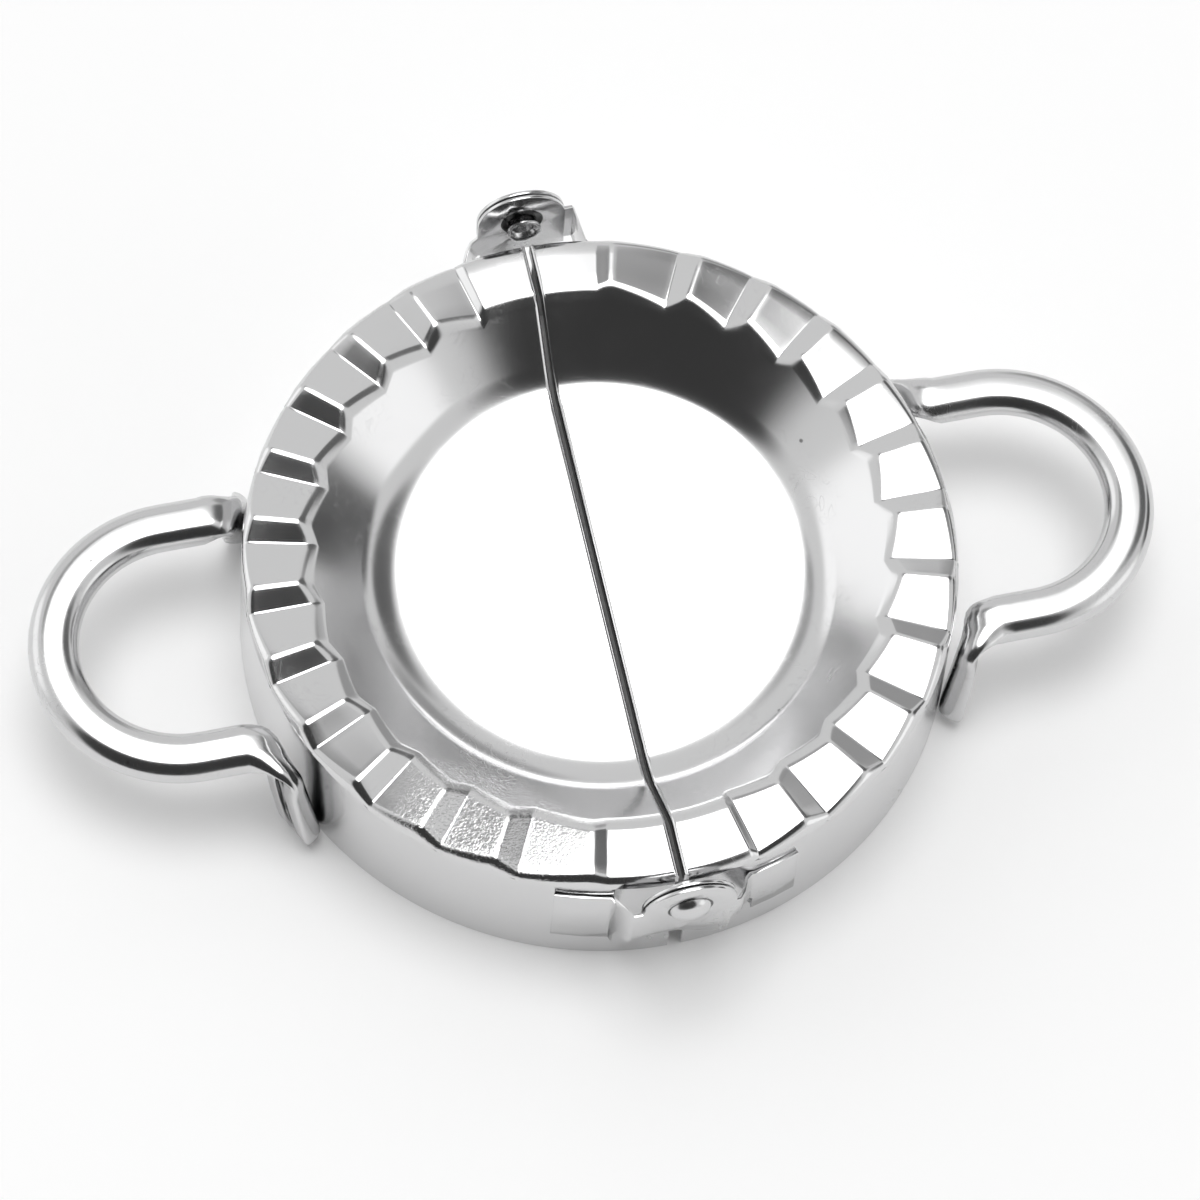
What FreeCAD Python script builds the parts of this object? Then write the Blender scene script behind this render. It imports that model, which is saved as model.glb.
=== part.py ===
import FreeCAD, Part
import math
import os
import Sketcher

# Folding empanada press: two pressed half moulds that lie open side by side, are joined by two
# riveted hinges and fold shut like a book. Millimetres, +Z up, the cutting edge stands on z = 0,
# the hinge pins lie along Y and the handles reach out along X. The press has two-fold symmetry:
# every piece on the left has a twin on the right, turned half a turn about Z.

doc = FreeCAD.newDocument("empanada_press")
sheet = doc.addObject("Spreadsheet::Sheet", "dims")

# Driving dimensions: name, value, meaning.
DIMENSIONS = [
    ("rim_radius", 47.5, "outer edge of the crimped band"),
    ("skirt_height", 21, "cutting edge up to the low level of the band"),
    ("skirt_flare", 0.9, "how much the cutting edge is wider than the rim"),
    ("sheet_thickness", 0.6, "pressed steel sheet"),
    ("band_inner_radius", 38, "inner edge of the crimped band"),
    ("bowl_depth", 8, "band down to the bowl floor"),
    ("bowl_floor_radius", 29.5, "flat floor before its corner is rounded"),
    ("bowl_floor_rounding", 8, "soft corner between floor and wall"),
    ("bowl_edge_rounding", 1.2, "corner between wall and band"),
    ("hinge_gap", 0.7, "slot between the two straight lips"),
    ("lip_drop", 2.2, "height of the lip turned down along the straight edge"),
    ("skirt_end_gap", 1.8, "wider slot between the skirt ends"),
    ("skirt_end_rounding", 0.6, "lower corner of each skirt end"),
    ("tooth_count", 14, "crimp teeth on one half"),
    ("tooth_height", 1.4, "ridge above the low level"),
    ("pad_height", 0.9, "level pads beside the hinges above the low level"),
    ("ridge_outer_inset", 0.7, "ridge end inside the rim"),
    ("ridge_inner_inset", 1.9, "ridge end outside the bowl edge"),
    ("pivot_rise", 1.25, "hinge axis above the low level of the band"),
    ("lobe_radius", 6.1, "rounded top of a hinge plate"),
    ("lobe_drop", 7.2, "hinge axis down to the lower edge of a hinge plate"),
    ("lobe_standoff", 4.25, "outer face of the outer plate beyond the rim"),
    ("lobe_clearance", 0.25, "play between the two plates of a hinge"),
    ("bracket_thickness", 0.5, "hinge plate sheet"),
    ("bracket_seat_gap", 0.05, "bracket strip to the skirt that it is welded to"),
    ("tail_start", 1.3, "hinge line to where the outer plate's tail begins"),
    ("tail_reach", 5.4, "hinge line to the lower corner of the tail"),
    ("tail_drop", 10.9, "hinge axis down to the lower corner of the tail"),
    ("outer_neck_rise", 0.2, "hinge axis up to the top of the outer bracket's neck"),
    ("inner_neck_drop", 2.7, "hinge axis down to the top of the inner bracket's neck"),
    ("outer_strip_drop", 2.4, "low level down to the top of the outer bracket's strip"),
    ("inner_strip_drop", 3.8, "low level down to the top of the inner bracket's strip"),
    ("strip_bottom_drop", 14.8, "low level down to the lower edge of both strips"),
    ("relief_height", 3.4, "notch between the neck and the foot of its strip"),
    ("joggle_start", 7.3, "where the step from plate to strip begins"),
    ("joggle_length", 1.5, "length of the sharp step"),
    ("bend_length", 4.0, "length of the soft step"),
    ("strip_reach", 16.2, "far end of the strip from the hinge line"),
    ("shank_radius", 1.85, "rivet shank"),
    ("shank_clearance", 0.05, "radial play of the shank in its holes"),
    ("rivet_head_radius", 2.75, "domed rivet head"),
    ("rivet_head_height", 1.3, "domed rivet head"),
    ("rivet_head_gap", 0.05, "play under the head"),
    ("tube_rim_gap", 1.4, "open end of the rivet to the rim"),
    ("flare_radius", 2.4, "flared open end of the rivet"),
    ("flare_length", 0.9, "length of the flare"),
    ("flare_rim_length", 0.25, "straight rim of the flare"),
    ("tube_wall", 0.5, "wall of the open end"),
    ("tube_depth", 2.3, "depth of the hollow"),
    ("handle_projection", 28.9, "rim out to the outermost point of a handle"),
    ("loop_radius", 16.9, "middle line of the round part of a handle"),
    ("loop_offset", 0.75, "middle of the round part beside the X axis"),
    ("bend_reach", 7.4, "rim at the tab's top out to the start of the leg, along X"),
    ("leg_splay", 1, "angle between the legs and X, degrees"),
    ("handle_width", 6.5, "handle strip at its outermost point"),
    ("leg_width", 6.3, "handle strip at its legs and tabs"),
    ("handle_depth", 3.1, "height of the handle's channel section"),
    ("handle_sheet", 0.7, "handle sheet"),
    ("handle_shoulder", 1.8, "rounded shoulders of the channel"),
    ("handle_drop", 3.5, "low level down to the top of a handle"),
    ("bend_drop", 3.5, "height of the bend from leg to tab"),
    ("tab_top_gap", 1.2, "tab to skirt under the bend"),
    ("tab_foot_gap", 0.05, "tab to skirt where the tab is welded"),
    ("tab_foot_rise", 0.9, "cutting edge up to the end of the tab"),
    ("tab_rounding", 2.2, "length of the rounded end of the tab"),
    ("tab_top_angle", 23.5, "place of the tab's top round the skirt, degrees"),
    ("tab_foot_angle", 27.2, "place of the tab's foot round the skirt, degrees"),
    ("cut_overrun", 3, "how far every cut runs past its piece"),
]
for row, (alias, number, meaning) in enumerate(DIMENSIONS, start=1):
    sheet.set(f"A{row}", meaning)
    sheet.set(f"B{row}", str(number))
    sheet.setAlias(f"B{row}", alias)
doc.recompute()

# Shares of the sizes that they follow.
RIDGE_SHARES = (0.65, 0.75)
LAST_RIDGE_SHARES = (0.84, 0.91)
LAST_FOOT_SHARE = 1.33
PAD_END_SHARE = 0.86
HEAD_DOME_SHARES = [(0.0, 1.0), (0.45, 0.95), (0.8, 0.7), (0.97, 0.3), (1.0, 0.0)]
SOFT_STEP_SHARES = [(0.0, 0.0), (0.2, 0.08), (0.4, 0.36), (0.6, 0.7), (0.8, 0.93), (1.0, 1.0)]
STRIP_SHARES = (0.0, 0.5, 1.0)
TAB_TIP_WIDTH_SHARES = [(0.0, 0.5), (0.15, 0.74), (0.45, 0.92), (1.0, 1.0)]
SHOULDER_LIMIT_SHARE = 0.4
BEND_PULL_SHARE = 0.38
BEND_SHARES = [(0.14, 0.8), (0.28, 0.5), (0.42, 0.25), (0.58, 0.25), (0.72, 0.5), (0.86, 0.8)]
STRAIGHT_SHARES = (0.1, 0.5, 0.9)
LOOP_SHARES = (0.06, 0.2, 0.4, 0.6, 0.8, 1.0)

# Expressions that several pieces share.
RIM_LEVEL = "dims.skirt_height"
FLOOR_LEVEL = "(dims.skirt_height - dims.bowl_depth)"
PIVOT_LEVEL = "(dims.skirt_height + dims.pivot_rise)"
WALL_ANGLE = "atan(dims.bowl_depth / (dims.band_inner_radius - dims.bowl_floor_radius))"
BEND_TANGENT = f"tan({WALL_ANGLE} / 2)"
PITCH = "(180 / dims.tooth_count)"
OUTER_PLATE_FACE = "(dims.rim_radius + dims.lobe_standoff)"
OUTER_PLATE_BACK = f"({OUTER_PLATE_FACE} - dims.bracket_thickness)"
INNER_PLATE_FACE = f"({OUTER_PLATE_BACK} - dims.lobe_clearance)"
INNER_PLATE_BACK = f"({INNER_PLATE_FACE} - dims.bracket_thickness)"
STRIP_BOTTOM = "(dims.skirt_height - dims.strip_bottom_drop)"
STRIP_SEAT = (
    "(dims.rim_radius + dims.bracket_seat_gap"
    " + dims.skirt_flare * dims.strip_bottom_drop / dims.skirt_height)"
)


def value(expression):
    """Number that an expression on the sheet gives now."""
    return float(sheet.evalExpression(expression))


def size(alias):
    """Number behind one alias."""
    return value(f"dims.{alias}")


def new_body(name):
    """Empty body whose label names its file."""
    body = doc.addObject("PartDesign::Body", name)
    body.Label = name
    return body


def plane(body, role):
    """One of a body's own origin planes or axes."""
    return next(item for item in body.Origin.OriginFeatures if item.Role == role)


def outline(body, role, name, corners, closed=True, offset="0"):
    """Sketch through corners given as pairs of expressions, on an origin plane or parallel to it."""
    sketch = body.newObject("Sketcher::SketchObject", name)
    sketch.AttachmentSupport = [(plane(body, role), "")]
    sketch.MapMode = "FlatFace"
    sketch.setExpression("AttachmentOffset.Base.z", offset)
    places = [FreeCAD.Vector(value(across), value(up), 0) for across, up in corners]
    line_count = len(places) if closed else len(places) - 1
    for index in range(line_count):
        end = places[(index + 1) % len(places)]
        sketch.addGeometry(Part.LineSegment(places[index], end), False)
    for index in range(line_count if closed else line_count - 1):
        following = (index + 1) % line_count
        sketch.addConstraint(Sketcher.Constraint("Coincident", index, 2, following, 1))
    for index, (across, up) in enumerate(corners):
        line, end = (index, 1) if index < line_count else (index - 1, 2)
        for kind, text, number in (
            ("DistanceX", across, places[index].x),
            ("DistanceY", up, places[index].y),
        ):
            row = sketch.addConstraint(Sketcher.Constraint(kind, -1, 1, line, end, number))
            sketch.setExpression(f"Constraints[{row}]", text)
    return sketch


def circle(body, role, name, across, up, radius):
    """Sketch of one circle whose middle and radius are expressions."""
    sketch = body.newObject("Sketcher::SketchObject", name)
    sketch.AttachmentSupport = [(plane(body, role), "")]
    sketch.MapMode = "FlatFace"
    middle = FreeCAD.Vector(value(across), value(up), 0)
    sketch.addGeometry(Part.Circle(middle, FreeCAD.Vector(0, 0, 1), value(radius)), False)
    sketch.addConstraint(Sketcher.Constraint("DistanceX", -1, 1, 0, 3, middle.x))
    sketch.setExpression("Constraints[0]", across)
    sketch.addConstraint(Sketcher.Constraint("DistanceY", -1, 1, 0, 3, middle.y))
    sketch.setExpression("Constraints[1]", up)
    sketch.addConstraint(Sketcher.Constraint("Radius", 0, value(radius)))
    sketch.setExpression("Constraints[2]", radius)
    return sketch


def check_cut(before, cut):
    """Stop if a cut has taken nothing away from the volume that was there before it."""
    doc.recompute()
    if cut.Shape.Volume >= before:
        raise RuntimeError(f"{cut.Name} cuts nothing")


def cut_through(body, name, sketch):
    """Pocket through everything, to both sides of its sketch."""
    before = body.Shape.Volume
    pocket = body.newObject("PartDesign::Pocket", name)
    pocket.Profile = sketch
    pocket.Type = "ThroughAll"
    pocket.Midplane = True
    check_cut(before, pocket)
    return pocket


def fillet(body, name, base, radius, wanted):
    """Fillet on the edges of a feature that a test picks by their place."""
    doc.recompute()
    edges = [f"Edge{index}" for index, edge in enumerate(base.Shape.Edges, start=1) if wanted(edge)]
    if not edges:
        raise RuntimeError(f"{name} finds no edge")
    rounding = body.newObject("PartDesign::Fillet", name)
    rounding.Base = (base, edges)
    rounding.setExpression("Radius", radius)
    body.Tip = rounding
    return rounding


def is_arc_at(edge, radius, level):
    """Whether an edge is an arc about Z with this radius and height."""
    curve = edge.Curve
    tolerance = size("sheet_thickness") / 50
    return (
        isinstance(curve, Part.Circle)
        and abs(abs(curve.Axis.z) - 1) < 1e-6
        and abs(curve.Radius - radius) < tolerance
        and abs(curve.Center.z - level) < tolerance
    )


def tooth_corners(first, shares, outer, inner):
    """Four corners of a tooth's section: two shares of the pitch past its first line, two radii."""
    start, end = (f"(90 + ({first} + {share}) * {PITCH})" for share in shares)
    return [
        (f"{outer} * cos({start})", f"{outer} * sin({start})"),
        (f"{inner} * cos({start})", f"{inner} * sin({start})"),
        (f"{inner} * cos({end})", f"{inner} * sin({end})"),
        (f"{outer} * cos({end})", f"{outer} * sin({end})"),
    ]


def tooth_row(body, name, kind, drop, shrink):
    """Crimp teeth round one half: hip-roofed wedges, and a level pad beside each hinge."""
    edge_rounding = f"dims.bowl_edge_rounding * {BEND_TANGENT}"
    foot_outer = f"(dims.rim_radius - {shrink})"
    foot_inner = f"(dims.band_inner_radius + {edge_rounding} + {shrink})"
    top_outer = f"({foot_outer} - dims.ridge_outer_inset)"
    top_inner = f"(dims.band_inner_radius + dims.ridge_inner_inset + {shrink})"

    def wedge(label, first, foot_shares, top_shares, height):
        foot = outline(
            body, "XY_Plane", f"{name}_{label}_foot",
            tooth_corners(first, foot_shares, foot_outer, foot_inner),
            offset=f"{RIM_LEVEL} - {drop}",
        )
        top = outline(
            body, "XY_Plane", f"{name}_{label}_top",
            tooth_corners(first, top_shares, top_outer, top_inner),
            offset=f"{RIM_LEVEL} - {drop} + {height}",
        )
        feature = body.newObject(kind, f"{name}_{label}")
        feature.Profile = foot
        feature.Sections = [top]
        feature.Ruled = True
        doc.recompute()
        return feature

    wedge("first_pad", "0", (0, 1), (0, PAD_END_SHARE), "dims.pad_height")
    wedge("last_pad", "(dims.tooth_count - 1)", (0, 1), (0, 1), "dims.pad_height")
    wedge("last_tooth", "(dims.tooth_count - 2)", (0, LAST_FOOT_SHARE), LAST_RIDGE_SHARES,
          "dims.tooth_height")
    tooth = wedge("tooth", "1", (0, 1), RIDGE_SHARES, "dims.tooth_height")
    row = body.newObject("PartDesign::PolarPattern", f"{name}_row")
    row.Originals = [tooth]
    row.Axis = (plane(body, "Z_Axis"), [""])
    row.setExpression("Angle", f"180 - 4 * {PITCH}")
    row.setExpression("Occurrences", "dims.tooth_count - 3")
    body.Tip = row
    doc.recompute()
    return row


def make_shell(name):
    """One half mould, pressed from one sheet: skirt, crimped band, bowl and straight lip."""
    body = new_body(name)
    sheet_under = "dims.sheet_thickness"
    skirt_foot = "(dims.rim_radius + dims.skirt_flare)"
    under_shift = f"{sheet_under} * {BEND_TANGENT}"

    # Half section turned half a turn about Z.
    section = outline(body, "YZ_Plane", f"{name}_section", [
        (skirt_foot, "0"),
        ("dims.rim_radius", RIM_LEVEL),
        ("dims.band_inner_radius", RIM_LEVEL),
        ("dims.bowl_floor_radius", FLOOR_LEVEL),
        ("0", FLOOR_LEVEL),
        ("0", f"{FLOOR_LEVEL} - {sheet_under}"),
        (f"dims.bowl_floor_radius + {under_shift}", f"{FLOOR_LEVEL} - {sheet_under}"),
        (f"dims.band_inner_radius + {under_shift}", f"{RIM_LEVEL} - {sheet_under}"),
        (f"dims.rim_radius - {sheet_under}", f"{RIM_LEVEL} - {sheet_under}"),
        (f"{skirt_foot} - {sheet_under}", "0"),
    ])
    pressing = body.newObject("PartDesign::Revolution", f"{name}_pressing")
    pressing.Profile = section
    pressing.ReferenceAxis = (section, ["V_Axis"])
    pressing.Angle = 180
    doc.recompute()

    # Rounded corners of the bowl, the under side one sheet thickness wider or narrower.
    shift = value(under_shift)
    thickness = size("sheet_thickness")
    rim_level = value(RIM_LEVEL)
    floor_level = value(FLOOR_LEVEL)
    floor_radius = size("bowl_floor_radius")
    edge_radius = size("band_inner_radius")
    corners = [
        ("floor", "dims.bowl_floor_rounding", floor_radius, floor_level),
        ("floor_under", "dims.bowl_floor_rounding + dims.sheet_thickness",
         floor_radius + shift, floor_level - thickness),
        ("edge", "dims.bowl_edge_rounding", edge_radius, rim_level),
        ("edge_under", "dims.bowl_edge_rounding - dims.sheet_thickness",
         edge_radius + shift, rim_level - thickness),
    ]
    shape = pressing
    for corner, radius, place, level in corners:
        shape = fillet(
            body, f"{name}_{corner}", shape, radius,
            lambda edge, place=place, level=level: is_arc_at(edge, place, level),
        )
    doc.recompute()

    # Crimp: raised teeth above, and the same teeth cut out of the under side.
    tooth_row(body, f"{name}_crimp", "PartDesign::AdditiveLoft", "0", "0")
    before = body.Shape.Volume
    hollow_row = tooth_row(body, f"{name}_hollow", "PartDesign::SubtractiveLoft",
                           "dims.sheet_thickness", "dims.sheet_thickness")
    check_cut(before, hollow_row)

    # Straight edge, set back from the hinge line by half the slot.
    half_gap = "dims.hinge_gap / 2"
    reach = "(dims.rim_radius + dims.cut_overrun)"
    slot = outline(body, "XY_Plane", f"{name}_slot_outline", [
        (f"-{half_gap}", f"-{reach}"),
        ("dims.cut_overrun", f"-{reach}"),
        ("dims.cut_overrun", reach),
        (f"-{half_gap}", reach),
    ])
    cut_through(body, f"{name}_slot", slot)

    # Lip turned down along the straight edge, following the pads and the bowl.
    turn = f"({WALL_ANGLE})"
    tangent = f"dims.bowl_floor_rounding * {BEND_TANGENT}"
    wall_foot = f"dims.bowl_floor_radius + {tangent} * cos{turn}"
    arc_middle = (
        f"dims.bowl_floor_radius - {tangent}"
        f" + dims.bowl_floor_rounding * sin({WALL_ANGLE} / 2)"
    )
    arc_rise = f"dims.bowl_floor_rounding * (1 - cos({WALL_ANGLE} / 2))"
    pad_level = f"{RIM_LEVEL} + dims.pad_height"
    bowl_line = [
        (f"dims.rim_radius - {sheet_under}", RIM_LEVEL),
        (f"dims.rim_radius - {sheet_under} - dims.ridge_outer_inset", pad_level),
        ("dims.band_inner_radius + dims.ridge_inner_inset", pad_level),
        (f"dims.band_inner_radius + {under_shift}", RIM_LEVEL),
        (wall_foot, f"{FLOOR_LEVEL} + {tangent} * sin{turn}"),
        (arc_middle, f"{FLOOR_LEVEL} + {arc_rise}"),
        (f"dims.bowl_floor_radius - {tangent}", FLOOR_LEVEL),
    ]
    lip_top = [(across, f"{up} - dims.sheet_thickness / 2") for across, up in bowl_line]
    lip_foot = [(across, f"{up} - dims.lip_drop") for across, up in bowl_line]
    lip_corners = (
        lip_top
        + [(f"-({across})", up) for across, up in reversed(lip_top)]
        + [(f"-({across})", up) for across, up in lip_foot]
        + list(reversed(lip_foot))
    )
    lip_outline = outline(
        body, "YZ_Plane", f"{name}_lip_outline", lip_corners,
        offset=f"-{half_gap} - dims.sheet_thickness",
    )
    lip = body.newObject("PartDesign::Pad", f"{name}_lip")
    lip.Profile = lip_outline
    lip.setExpression("Length", "dims.sheet_thickness")
    doc.recompute()

    # Skirt ends, set further back and rounded at the foot.
    below_lip = "(dims.skirt_height - dims.lip_drop - dims.sheet_thickness)"
    inside = "(dims.rim_radius - dims.cut_overrun)"
    outside = "(dims.rim_radius + dims.cut_overrun)"
    for side, sign in (("front", "-"), ("rear", "")):
        end_outline = outline(body, "YZ_Plane", f"{name}_{side}_end_outline", [
            (f"{sign}{inside}", "-dims.cut_overrun"),
            (f"{sign}{outside}", "-dims.cut_overrun"),
            (f"{sign}{outside}", below_lip),
            (f"{sign}{inside}", below_lip),
        ])
        before = body.Shape.Volume
        ends = body.newObject("PartDesign::Pocket", f"{name}_{side}_end")
        ends.Profile = end_outline
        ends.setExpression("Length", "dims.skirt_end_gap")
        ends.Midplane = True
        check_cut(before, ends)
    set_back = -size("skirt_end_gap") / 2
    fillet(
        body, f"{name}_end_corners", ends, "dims.skirt_end_rounding",
        lambda edge: abs(edge.BoundBox.XMin - set_back) < thickness / 50
        and edge.BoundBox.XLength < thickness / 50
        and edge.BoundBox.ZMax < thickness / 50,
    )
    return body


def make_bracket(name, plate_back, step_points, neck_top, strip_drop, far_side, sign):
    """Hinge bracket: a strip welded to the skirt, a stepped neck and a rounded plate.

    The far side lists the plate's lower corners away from its strip. The sign is the side of the
    plate on which the strip lies, seen from the front.
    """
    body = new_body(name)
    fold, strip_start, strip_end = step_points[0][0], step_points[-1][0], "dims.strip_reach"
    path = [(f"-({sign}dims.lobe_radius)", f"-{plate_back}")]
    path += [(f"{sign}{across}", f"-({depth})") for across, depth in step_points[:-1]]
    for share in STRIP_SHARES:
        across = f"({strip_start} + {share} * ({strip_end} - {strip_start}))"
        path.append((f"{sign}{across}", f"-sqrt({STRIP_SEAT} ^ 2 - {across} ^ 2)"))
    spine = outline(body, "XY_Plane", f"{name}_path", path, closed=False)
    plate_top = f"{PIVOT_LEVEL} + dims.lobe_radius"
    profile = outline(body, "YZ_Plane", f"{name}_profile", [
        (f"-({plate_back} + dims.bracket_thickness)", STRIP_BOTTOM),
        (f"-{plate_back}", STRIP_BOTTOM),
        (f"-{plate_back}", plate_top),
        (f"-({plate_back} + dims.bracket_thickness)", plate_top),
    ], offset=f"-({sign}dims.lobe_radius)")
    ribbon = body.newObject("PartDesign::AdditivePipe", f"{name}_ribbon")
    ribbon.Profile = profile
    ribbon.Spine = spine
    ribbon.Transition = "Right corner"
    doc.recompute()

    # The neck falls from the plate's rounded top to the strip.
    strip_top = f"dims.skirt_height - {strip_drop}"
    beyond_strip = "(dims.strip_reach + dims.cut_overrun)"
    high = f"{plate_top} + dims.cut_overrun"
    neck_start = f"{sign}dims.lobe_radius"
    above_strip = outline(body, "XZ_Plane", f"{name}_above_strip_outline", [
        (neck_start, neck_top),
        *([(f"{sign}{fold}", neck_top)] if value(fold) > size("lobe_radius") else []),
        (f"{sign}{strip_start}", strip_top),
        (f"{sign}{beyond_strip}", strip_top),
        (f"{sign}{beyond_strip}", high),
        (neck_start, high),
    ])
    cut_through(body, f"{name}_above_strip", above_strip)

    # Lower edge: a notch beside the strip's foot, the rising neck, the plate and its far side.
    plate_foot = f"{PIVOT_LEVEL} - dims.lobe_drop"
    low = f"{STRIP_BOTTOM} - dims.cut_overrun"
    beyond_plate = f"-({sign}(dims.lobe_radius + dims.cut_overrun))"
    lower_edge = [
        (f"{sign}{strip_start}", low),
        (f"{sign}{strip_start}", f"{STRIP_BOTTOM} + dims.relief_height"),
        (f"{sign}{fold}", plate_foot),
    ]
    for across, up in far_side:
        lower_edge.append((f"-({sign}{across})", up))
    last_level = lower_edge[-1][1]
    under_plate = outline(body, "XZ_Plane", f"{name}_under_plate_outline", [
        *lower_edge, (beyond_plate, last_level), (beyond_plate, low),
    ])
    cut_through(body, f"{name}_under_plate", under_plate)
    hole = circle(body, "XZ_Plane", f"{name}_hole_outline", "0", PIVOT_LEVEL,
                  "dims.shank_radius + dims.shank_clearance")
    bored = cut_through(body, f"{name}_hole", hole)
    top = value(plate_top)
    tolerance = size("bracket_thickness") / 50
    fillet(
        body, f"{name}_plate_top", bored, "dims.lobe_radius - dims.lobe_clearance",
        lambda edge: edge.BoundBox.ZMin > top - tolerance and edge.BoundBox.XLength < tolerance,
    )
    return body


def make_outer_bracket(name):
    """Bracket with a sharp step, whose plate lies outermost and ends in a slanting tail."""
    strip_start = "(dims.joggle_start + dims.joggle_length)"
    step = [("dims.joggle_start", OUTER_PLATE_BACK), (strip_start, STRIP_SEAT)]
    tail = [
        ("(-dims.tail_start)", f"{PIVOT_LEVEL} - dims.lobe_drop"),
        ("dims.tail_reach", f"{PIVOT_LEVEL} - dims.tail_drop"),
        ("dims.lobe_radius", f"{PIVOT_LEVEL} - dims.inner_neck_drop"),
    ]
    return make_bracket(name, OUTER_PLATE_BACK, step, f"{PIVOT_LEVEL} + dims.outer_neck_rise",
                        "dims.outer_strip_drop", tail, "-")


def make_inner_bracket(name):
    """Bracket with a soft step, whose plate lies next to the rim."""
    strip_start = "(dims.lobe_radius + dims.bend_length)"
    seat = f"sqrt({STRIP_SEAT} ^ 2 - {strip_start} ^ 2)"
    step = []
    for along_share, inward_share in SOFT_STEP_SHARES:
        across = f"(dims.lobe_radius + {along_share} * dims.bend_length)"
        step.append((across, f"{INNER_PLATE_BACK} + {inward_share} * ({seat} - {INNER_PLATE_BACK})"))
    square_end = [("dims.lobe_radius", f"{PIVOT_LEVEL} - dims.lobe_drop")]
    return make_bracket(name, INNER_PLATE_BACK, step, f"{PIVOT_LEVEL} - dims.inner_neck_drop",
                        "dims.inner_strip_drop", square_end, "")


def make_rivet(name):
    """Tubular rivet: domed head outside, shank through both plates, flared open end inside."""
    body = new_body(name)
    head_foot = f"({OUTER_PLATE_FACE} + dims.rivet_head_gap)"
    open_end = "(dims.rim_radius + dims.tube_rim_gap)"
    flare_start = f"{open_end} + dims.flare_rim_length + dims.flare_length"
    profile = [(f"-({head_foot} + {rise} * dims.rivet_head_height)",
                f"{across} * dims.rivet_head_radius") for across, rise in HEAD_DOME_SHARES]
    profile += [
        (f"-{head_foot}", "dims.shank_radius"),
        (f"-({flare_start})", "dims.shank_radius"),
        (f"-({open_end} + dims.flare_rim_length)", "dims.flare_radius"),
        (f"-{open_end}", "dims.flare_radius"),
        (f"-{open_end}", "dims.flare_radius - dims.tube_wall"),
        (f"-({flare_start})", "dims.shank_radius - dims.tube_wall"),
        (f"-({open_end} + dims.tube_depth)", "dims.shank_radius - dims.tube_wall"),
        (f"-({open_end} + dims.tube_depth)", "0"),
    ]
    section = outline(body, "YZ_Plane", f"{name}_section", profile)
    section.setExpression("AttachmentOffset.Base.y", PIVOT_LEVEL)
    turned = body.newObject("PartDesign::Revolution", f"{name}_turned")
    turned.Profile = section
    turned.ReferenceAxis = (section, ["H_Axis"])
    turned.Angle = 360
    doc.recompute()
    return body


def channel_wire(place, along, outward, width, wall_share):
    """Channel section at one station: web outside, both walls and rounded shoulders."""
    wall = size("handle_sheet")
    shoulder = min(size("handle_shoulder"), width * SHOULDER_LIMIT_SHARE)
    depth = shoulder + (size("handle_depth") - shoulder) * wall_share
    diagonal = 1 - math.sqrt(0.5)
    side = width / 2
    under_side = side - wall
    crown = side - shoulder
    arc = diagonal * shoulder
    under_arc = diagonal * (shoulder - wall)
    runs = [
        [(side, depth), (side, shoulder)],
        [(side, shoulder), (side - arc, arc), (crown, 0)],
        [(crown, 0), (-crown, 0)],
        [(-crown, 0), (arc - side, arc), (-side, shoulder)],
        [(-side, shoulder), (-side, depth)],
        [(-side, depth), (-under_side, depth)],
        [(-under_side, depth), (-under_side, shoulder)],
        [(-under_side, shoulder), (under_arc - under_side, wall + under_arc), (-crown, wall)],
        [(-crown, wall), (crown, wall)],
        [(crown, wall), (under_side - under_arc, wall + under_arc), (under_side, shoulder)],
        [(under_side, shoulder), (under_side, depth)],
        [(under_side, depth), (side, depth)],
    ]
    sideways = along.cross(outward)
    edges = []
    for run in runs:
        places = [place + sideways * across - outward * down for across, down in run]
        curve = Part.Arc(*places) if len(places) > 2 else Part.LineSegment(*places)
        edges.append(curve.toShape())
    return Part.Wire(edges)


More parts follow.
